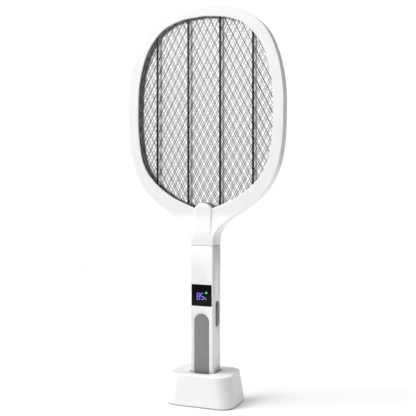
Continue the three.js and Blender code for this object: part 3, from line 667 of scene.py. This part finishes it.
def band(reach, low):
    """The outline of a net or grid frame under the lip: smooth, with a short straight low edge."""
    grown = offset(opening_smooth, reach)[opening_smooth[:, 1] > BAND_STRAIGHT]
    right = grown[grown[:, 0] > -0.01]
    left = grown[grown[:, 0] <= -0.01]
    return np.vstack([right, [(BAND_END, low), (-BAND_END, low)], left])


def grid_frame(name, side, node):
    """A flat ring with four upright ribs. Their sides carry a painted highlight: a pale material where
    the real ones catch light.
    """
    low, high = sorted(side * y for y in FRAME_Y)
    ring = slab(name, band(FRAME_GRIP, FRAME_LOW), low, high)
    hole = slab("hole", offset(opening_outline, -LEDGE), low - PAST, high + PAST)
    combine(ring, hole, "DIFFERENCE")
    for place in (-1.5, -0.5, 0.5, 1.5):
        x = place * RIB_PITCH
        inside = offset(opening_smooth, 1.0)
        side_x = inside[inside[:, 0] * (1 if x > 0 else -1) > 0]
        order = side_x[np.argsort(np.abs(side_x[:, 0] - x))]
        top = order[order[:, 1] > HEAD_MIDDLE][0][1]
        bottom = order[order[:, 1] < HEAD_MIDDLE][0][1]
        near, far = sorted(side * y for y in (FRONT_RIB if side < 0 else REAR_RIB))
        rib = box_piece("rib", (x - RIB_HALF, near, bottom), (x + RIB_HALF, far, top))
        combine(ring, rib, "UNION")
    soften(ring, FRAME_EDGE)
    dress(shade(ring), black_frame, "black_frame_plastic", "racket", node)
    # Painted highlight: the ribs' faces along X and towards the rear, and every large face of the rear
    # frame's ribs, take the pale material.
    ring.data.materials.append(rib_side_painted_highlight)
    for face in ring.data.polygons:
        on_rib = abs(abs(abs(face.center.x / MM / RIB_PITCH) - 1) - 0.5) < 0.04
        painted_highlight_face = abs(face.normal.x) > 0.9 or side > 0 or face.normal.y > 0.9
        if on_rib and painted_highlight_face and face.area > RIB_SIDE_AREA * MM * MM:
            face.material_index = 1


grid_frame("front_grid_frame", -1, "grid_frame_front")
grid_frame("rear_grid_frame", 1, "grid_frame_rear")


def net(name, middle, shift, strand, material, node):
    """A sheet of expanded metal: small diamonds at the crossings, joined by straight strands."""
    half_w = MESH_W / 2
    half_h = MESH_H / 2
    lean = math.hypot(half_w, half_h)
    a = strand / 2 * lean / half_h
    b = strand / 2 * lean / half_w
    corners = [(a, 0), (0, b), (-a, 0), (0, -b)]
    index = {}
    points = []
    for i in range(-NET_COLUMNS, NET_COLUMNS + 1):
        for j in range(-NET_ROWS, NET_ROWS + 1):
            if (i + j) % 2 == 0:
                index[i, j] = len(points)
                x = (i + shift) * half_w
                z = HEAD_MIDDLE + j * half_h
                points += [(x + dx, middle - NET_THICK / 2, z + dz) for dx, dz in corners]
    faces = []
    for (i, j), first in index.items():
        right, top, left, _ = range(first, first + 4)
        faces.append(tuple(range(first, first + 4)))
        if (i + 1, j + 1) in index:
            there = index[i + 1, j + 1]
            faces.append((right, there + 3, there + 2, top))
        if (i - 1, j + 1) in index:
            there = index[i - 1, j + 1]
            faces.append((top, there, there + 3, left))
    sheet = piece_of(name, points, faces)
    work = bmesh.new()
    work.from_mesh(sheet.data)
    grown = bmesh.ops.extrude_face_region(work, geom=work.faces[:])
    moved = [part for part in grown["geom"] if isinstance(part, bmesh.types.BMVert)]
    bmesh.ops.translate(work, verts=moved, vec=(0, NET_THICK * MM, 0))
    bmesh.ops.recalc_face_normals(work, faces=work.faces)
    work.to_mesh(sheet.data)
    work.free()
    rear = middle + NET_THICK / 2
    front = middle - NET_THICK / 2
    clip = slab("clip", band(NET_GRIP - STRANDS_INSET, STRANDS_LOW), front - PAST, rear + PAST)
    combine(sheet, clip, "INTERSECT")
    rim = slab("rim", band(NET_GRIP, NET_LOW), front - NET_RIM_PROUD, rear + NET_RIM_PROUD)
    hole = slab("hole", band(NET_GRIP - NET_RIM, RIM_HOLE_LOW), front - PAST, rear + PAST)
    combine(rim, hole, "DIFFERENCE")
    combine(sheet, rim, "UNION")
    return dress(shade(sheet), material, "steel", "racket", node)


# Each net's tone is painted shade or painted light by its layer; all three are the same steel.
net("front_mesh", -NET_Y, 0.0, STRAND, front_net_painted_shade, "front_net")
net("middle_mesh", 0.0, 1.0, BACK_STRAND, middle_mesh, "middle_net")
net("rear_mesh", NET_Y, -0.5, BACK_STRAND, rear_net_painted_light, "rear_net")


# ------------------------------------------------------------------ screws
def screw_mesh():
    """A pan head with a cross recess on a plain shank, head up, its flat under side at z 0."""
    screw = skin("screw", [
        ring_xy(circle((0, 0), max(radius, AXIS_R)), height) for radius, height in SCREW_PROFILE])
    for half_x, half_y in (CROSS_HALF, CROSS_HALF[::-1]):
        arms = skin("cross", [ring_xy(round_box(half_x * t, half_y * t, CROSS_CORNER, 2), z)
                              for z, t in CROSS_LEVELS])
        combine(screw, arms, "DIFFERENCE")
    return shade(screw)


screw_model = screw_mesh()


def rear_screw(node):
    """A screw driven in from the rear, each with its recess turned another way."""
    low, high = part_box(node)
    screw = bpy.data.objects.new(node.replace("screw", "bolt"), screw_model.data.copy())
    bpy.context.scene.collection.objects.link(screw)
    turn = 0.4 + 1.1 * int(node[-1])
    c, s = math.cos(turn), math.sin(turn)
    matrix = np.array([[c, -s, 0], [0, 0, 1], [s, c, 0]])
    centre = (low + high) / 2
    seat = np.array((centre.x, high.y - SCREW_SET * MM, centre.z))
    for vertex in screw.data.vertices:
        vertex.co = matrix @ np.array(vertex.co) + seat
    work = bmesh.new()
    work.from_mesh(screw.data)
    bmesh.ops.recalc_face_normals(work, faces=work.faces)
    work.to_mesh(screw.data)
    work.free()
    dress(screw, steel, "steel", "racket", node)


for number in range(1, 7):
    rear_screw(f"head_screw_{number}")
for number in range(1, 4):
    rear_screw(f"handle_screw_{number}")
bpy.data.objects.remove(screw_model)


# ------------------------------------------------------------------ handle
def handle_half(name, side):
    """The front or rear half of the handle's tube."""
    corner, inner_corner = CORNER_FRONT, CORNER_FRONT_INNER
    if side > 0:
        corner, inner_corner = CORNER_REAR, CORNER_REAR_INNER
    levels = [(z, HANDLE_HX, HANDLE_HY) for z in (HANDLE_LOW, HANDLE_TOP)]
    return half_tube(name, side, levels, SKIN, corner, inner_corner)


def slot_outline(half_w, half_h, mid, steps=14):
    """An upright slot with round ends, as (y, z) points."""
    top = [(half_w * math.cos(a), mid + half_h - half_w + half_w * math.sin(a))
           for a in np.linspace(math.pi, 0, steps)]
    low = [(half_w * math.cos(a), mid - half_h + half_w + half_w * math.sin(a))
           for a in np.linspace(0, -math.pi, steps)]
    return np.array(top + low)


def ring_yz(outline, x):
    return np.column_stack([np.full(len(outline), x), outline[:, 0], outline[:, 1]])


def button_tool():
    outline = slot_outline(BUTTON_HALF_Y + BUTTON_GAP, BUTTON_HALF_Z + BUTTON_GAP, BUTTON_MID)
    return skin("tool", [ring_yz(outline, x) for x in BUTTON_HOLE_X])


def pad_outline(half, top, low, steps=28):
    arc = [(half * math.cos(a), top - half + half * math.sin(a)) for a in np.linspace(math.pi, 0, steps)]
    return np.array([*arc, (half, low), (-half, low)])


FACE = -HANDLE_HY      # the plane of the handle's front

front_half = handle_half("handle_front_cover", -1)
recess = pad_outline(PAD_HALF + PAD_GAP, PAD_TOP + PAD_GAP, PAD_RECESS_LOW)
combine(front_half, slab("tool", recess, FACE - PAST, FACE + PAD_RECESS), "DIFFERENCE")
half = WINDOW_HALF + WINDOW_GAP
recess = round_box(half, half, RECESS_CORNER, 5, (0, WINDOW_MID))
combine(front_half, slab("tool", recess, FACE - PAST, FACE + WINDOW_RECESS), "DIFFERENCE")
combine(front_half, button_tool(), "DIFFERENCE")
soften(front_half, SHELL_EDGE)
dress(shade(front_half), white, "white_plastic", "racket", "handle_front_shell")

rear_half = handle_half("handle_rear_cover", 1)
combine(rear_half, button_tool(), "DIFFERENCE")
for number in range(1, 4):
    seat = screw_seat(f"handle_screw_{number}", HANDLE_HY - HANDLE_SEAT, HANDLE_HY + SEAT_PAST)
    combine(rear_half, seat, "DIFFERENCE")
soften(rear_half, SHELL_EDGE)
dress(shade(rear_half), white, "white_plastic", "racket", "handle_rear_shell")

pad = slab("grip_pad_cover", pad_outline(PAD_HALF, PAD_TOP, PAD_LOW),
           FACE - PAD_PROUD, FACE + PAD_DEEP, PAD_EDGE)
dress(shade(pad), grip_rubber, "grip_rubber", "racket", "grip_pad")

window = slab("display_lens", round_box(WINDOW_HALF, WINDOW_HALF, WINDOW_CORNER, 5, (0, WINDOW_MID)),
              FACE, FACE + WINDOW_THICK, WINDOW_EDGE)
dress(shade(window), smoked, "display_black", "racket", "display_window")


def zap_button():
    """The button: a crowned cap with sloping ends, on a flange that keeps it in the handle."""
    def outline(grow, shorten=0.0):
        return slot_outline(BUTTON_HALF_Y + grow, BUTTON_HALF_Z + grow - shorten, BUTTON_MID)

    rings = [ring_yz(outline(FLANGE_WIDER), x) for x in FLANGE_X]
    rings.append(ring_yz(outline(0), FLANGE_X[1]))
    top = HANDLE_HX + BUTTON_PROUD
    for a in np.linspace(0, math.pi / 2, ROUND_RINGS):
        turn = 1 - math.cos(a)
        x = top - CAP_CROWN - CAP_EDGE * (1 - math.sin(a))
        rings.append(ring_yz(outline(-CAP_INSET * turn, CAP_SHORTER * turn), x))
    for inset, shorten, drop in CROWN_RINGS:
        rings.append(ring_yz(outline(-inset, shorten), top - drop))
    return skin("zap_button_cap", rings)


dress(shade(zap_button()), button_grey, "button_grey", "zap_button", "zap_button")


# ------------------------------------------------------------------ display
DIGIT_W = 4.1
DIGIT_H = 8.2
DIGIT_PITCH = 4.8
BAR = 0.8
BAR_GAP = 0.12
LIT_PROUD = 0.03
LIT_SUNK = 0.1
READING_LEFT = -6.1
READING_LOW = WINDOW_MID - 5.3
RING_R = 0.55         # the two dots of the per-cent sign
SLASH = 0.5           # width of its stroke
DOT_R = 1.35


def bar(start, end, width=BAR):
    """A bar with pointed ends between two points, as an outline."""
    start, end = np.array(start, float), np.array(end, float)
    along = (end - start) / np.linalg.norm(end - start)
    across = np.array((-along[1], along[0])) * width / 2
    tip = along * width / 2
    return np.array([start, start + tip + across, end - tip + across, end, end - tip - across,
                     start + tip - across])


def digit(segments, left, low):
    """Seven-segment digit whose lower left corner is given."""
    w, h = DIGIT_W - BAR, DIGIT_H - BAR
    x, z = left + BAR / 2, low + BAR / 2
    ends = {
        "a": ((0, h), (w, h)), "b": ((w, h), (w, h / 2)), "c": ((w, h / 2), (w, 0)),
        "d": ((0, 0), (w, 0)), "e": ((0, h / 2), (0, 0)), "f": ((0, h), (0, h / 2)),
        "g": ((0, h / 2), (w, h / 2)),
    }
    made = []
    for key in segments:
        (x0, z0), (x1, z1) = ends[key]
        dx, dz = np.sign(x1 - x0) * BAR_GAP, np.sign(z1 - z0) * BAR_GAP
        made.append(bar((x + x0 + dx, z + z0 + dz), (x + x1 - dx, z + z1 - dz)))
    return made


def lit(name, outlines, material):
    """Lit segments on the lens, all in one piece."""
    parts = [slab("part", outline, FACE - LIT_PROUD, FACE + LIT_SUNK) for outline in outlines]
    work = bmesh.new()
    for part in parts:
        work.from_mesh(part.data)
        bpy.data.objects.remove(part)
    mesh = bpy.data.meshes.new(name)
    work.to_mesh(mesh)
    work.free()
    piece = bpy.data.objects.new(name, mesh)
    bpy.context.scene.collection.objects.link(piece)
    dress(piece, material, "display_black", "racket")


percent = [circle((x, READING_LOW + rise), RING_R, 12) for x, rise in ((4.1, 2.7), (5.7, 0.55))]
percent.append(bar((3.9, READING_LOW + 0.2), (5.9, READING_LOW + 3.1), SLASH))
reading = digit("abcdefg", READING_LEFT, READING_LOW)
reading += digit("acdfg", READING_LEFT + DIGIT_PITCH, READING_LOW)
lit("display_reading", reading + percent, digit_glow)
lit("display_dot", [circle((6.0, WINDOW_MID + 3.3), DOT_R, 20)], dot_glow)


# ------------------------------------------------------------------ dock
def dock_outline(height, inset=0.0):
    """The dock's outline at a height: its sides lean in a little towards the top."""
    t = min(max((height - DOCK_SKIRT) / (DOCK_TOP - DOCK_SKIRT), 0), 1)
    x, y, r = (a + (b - a) * t for a, b in zip(DOCK_FOOT, DOCK_HEAD))
    return round_box(x - inset, y - inset, r - inset, DOCK_CORNER_STEPS)


def socket_outline(grow=0.0):
    x, y, r = SOCKET
    return round_box(x + grow, y + grow, r + grow, DOCK_CORNER_STEPS)


def dock_housing():
    """One skin from under the socket's cup up the cavity, round the foot, over the top and down
    into the socket."""
    cup_low = CUP_FLOOR - CUP_WALL
    rings = [ring_xy(socket_outline(CUP_WALL), z) for z in (cup_low, DOCK_ROOF)]
    rings += [ring_xy(dock_outline(z, DOCK_WALL), z) for z in (DOCK_ROOF, DOCK_SKIRT, DOCK_LOW)]
    for a in np.linspace(math.pi / 2, 0, 4):
        outline = dock_outline(DOCK_LOW, DOCK_LOW_ROUND * (1 - math.cos(a)))
        rings.append(ring_xy(outline, DOCK_LOW + DOCK_LOW_ROUND * (1 - math.sin(a))))
    for height in np.linspace(DOCK_SKIRT, DOCK_TOP - DOCK_TOP_ROUND, 8):
        rings.append(ring_xy(dock_outline(height), height))
    for a in np.linspace(0, math.pi / 2, 7)[1:]:
        height = DOCK_TOP - DOCK_TOP_ROUND * (1 - math.sin(a))
        rings.append(ring_xy(dock_outline(height, DOCK_TOP_ROUND * (1 - math.cos(a))), height))
    for a in np.linspace(math.pi / 2, 0, ROUND_RINGS):
        grow = SOCKET_ROUND * (1 - math.cos(a))
        rings.append(ring_xy(socket_outline(grow), DOCK_TOP - SOCKET_ROUND * (1 - math.sin(a))))
    rings.append(ring_xy(socket_outline(), CUP_FLOOR))
    housing = skin("dock_body", rings)
    half_x, half_y, bottom = CHANNEL
    groove = round_box(half_x, half_y, 0.5, 3)
    above = CUP_FLOOR + PAST
    combine(housing, skin("groove", [ring_xy(groove, z) for z in (bottom, above)]), "DIFFERENCE")
    for x in (-PIN_X, PIN_X):
        outline = circle((x, 0), PIN_HOLE_R)
        hole = skin("hole", [ring_xy(outline, z) for z in (CUP_FLOOR - PIN_HOLE_DEEP, above)])
        combine(housing, hole, "DIFFERENCE")
    port = slot_outline(*PORT_HALF, 0)[:, ::-1] + (0, PORT_MID)
    combine(housing, slab("port", port, *PORT_Y), "DIFFERENCE")
    return shade(housing)


dress(dock_housing(), white, "white_plastic", "dock", "dock_housing")


FOOT_PROFILE = [(0, 0), (3.9, 0), (4.3, 0.12), (4.5, 0.45), (4.5, 1.6), (0, 1.6)]

for number in range(1, 5):
    low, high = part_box(f"dock_foot_{number}")
    middle = (low + high) / 2 / MM
    foot = skin(f"dock_pad_{number}", [
        ring_xy(circle((middle.x, middle.y), max(radius, AXIS_R), 40), z) for radius, z in FOOT_PROFILE])
    dress(shade(foot), dark_plastic, "dark_plastic", "dock", f"dock_foot_{number}")


def pin_spring(side):
    """The coil under a charging pin, made at one fixed length."""
    node = f"pin_spring_{side}"
    low, high = (np.array(corner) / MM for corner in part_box(node))
    up = np.array((0, 0, 1))
    coil = (high[0] - low[0]) / 2 - SPRING_WIRE
    middle = (low + high) / 2
    around_wire = np.arange(8) / 8 * 2 * math.pi
    rings = []
    for turn in np.linspace(0, SPRING_TURNS, SPRING_TURNS * 24 + 1):
        a = turn * 2 * math.pi
        out = np.array((math.cos(a), math.sin(a), 0))
        centre = (*middle[:2], low[2] + SPRING_WIRE) + coil * out
        centre[2] += (high[2] - low[2] - 2 * SPRING_WIRE) * turn / SPRING_TURNS
        rings.append(np.array([centre + SPRING_WIRE * (math.cos(t) * out + math.sin(t) * up)
                               for t in around_wire]))
    spring = skin(f"pin_coil_{side}", rings)
    dress(shade(spring, 60), steel, "steel", "dock", node)
    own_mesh(spring)


for side in ("left", "right"):
    pin_spring(side)

# ------------------------------------------------------------------ CAD pieces that stay
FINISHES = {
    "white_plastic": white, "steel": steel, "dark_plastic": dark_plastic, "circuit_board": board_green,
    "brass": brass, "battery_wrap": cell_wrap, "amber_winding": amber, "red_epoxy": epoxy,
    "wire_red": wire_red, "wire_black": wire_black,
}
slots = {part["node"]: part["material_slot"] for part in frame["record"]["subparts"]}
for node, thing in frame["nodes"].items():
    if not thing.hide_render:
        thing.data.materials.clear()
        thing.data.materials.append(FINISHES[slots[node]])

# ------------------------------------------------------------------ floor and light
def floor_material():
    material, tree, shader, place = new_material("floor")
    drift = between(tree, noise(tree, place, 3, 3), 0, 1)
    colour = blend_colours(tree, drift, (0.92, 0.92, 0.92), (0.93, 0.93, 0.93))
    tree.links.new(colour, shader.inputs["Base Color"])
    shader.inputs["Roughness"].default_value = 0.6
    shader.inputs["Specular IOR Level"].default_value = 0.2
    return material


FLOOR_CENTRE = (150, 250)
FLOOR_R = 1500
FLOOR_THICK = 20

floor = skin("floor", [ring_xy(circle(FLOOR_CENTRE, FLOOR_R, 96), z) for z in (-FLOOR_THICK, 0)])
floor.data.materials.append(floor_material())


def sun(name, towards, spread_deg, power):
    """Even light from far away, softened by the angle that its disc fills."""
    light = bpy.data.lights.new(name, "SUN")
    light.angle = math.radians(spread_deg)
    light.energy = power * math.pi
    lamp = bpy.data.objects.new(name, light)
    lamp.rotation_euler = Vector(towards).to_track_quat("-Z", "Y").to_euler()
    bpy.context.scene.collection.objects.link(lamp)


def soft_box(name, place, target, side, power, beam_deg):
    """A square panel of light that is brightest where it points."""
    light = bpy.data.lights.new(name, "AREA")
    light.size = side
    light.energy = power
    light.spread = math.radians(beam_deg)
    lamp = bpy.data.objects.new(name, light)
    lamp.location = place
    lamp.rotation_euler = (Vector(target) - Vector(place)).to_track_quat("-Z", "Y").to_euler()
    bpy.context.scene.collection.objects.link(lamp)


# Places and sizes of lights are in metres.
soft_box("key", (-0.7, -1.3, 0.95), (0.02, 0, 0.42), 0.9, 1.33, 36)
sun("overhead_left", (0.64, 0.24, -1.0), 32, 0.74)
sun("overhead_back", (-0.2, -0.25, -1.0), 60, 0.48)


def studio():
    """A white backdrop to the eye, with dimmer walls for the light and the reflections."""
    world = bpy.data.worlds.new("studio")
    bpy.context.scene.world = world
    world.use_nodes = True
    tree = world.node_tree
    walls = tree.nodes["Background"]
    walls.inputs["Color"].default_value = (0.98, 0.99, 1, 1)
    walls.inputs["Strength"].default_value = 0.1
    backdrop = tree.nodes.new("ShaderNodeBackground")
    backdrop.inputs["Color"].default_value = (1, 1, 1, 1)
    backdrop.inputs["Strength"].default_value = 1.02
    path = tree.nodes.new("ShaderNodeLightPath")
    mix = tree.nodes.new("ShaderNodeMixShader")
    tree.links.new(path.outputs["Is Camera Ray"], mix.inputs[0])
    tree.links.new(walls.outputs[0], mix.inputs[1])
    tree.links.new(backdrop.outputs[0], mix.inputs[2])
    tree.links.new(mix.outputs[0], tree.nodes["World Output"].inputs["Surface"])


studio()
bpy.context.scene.view_settings.view_transform = "Standard"
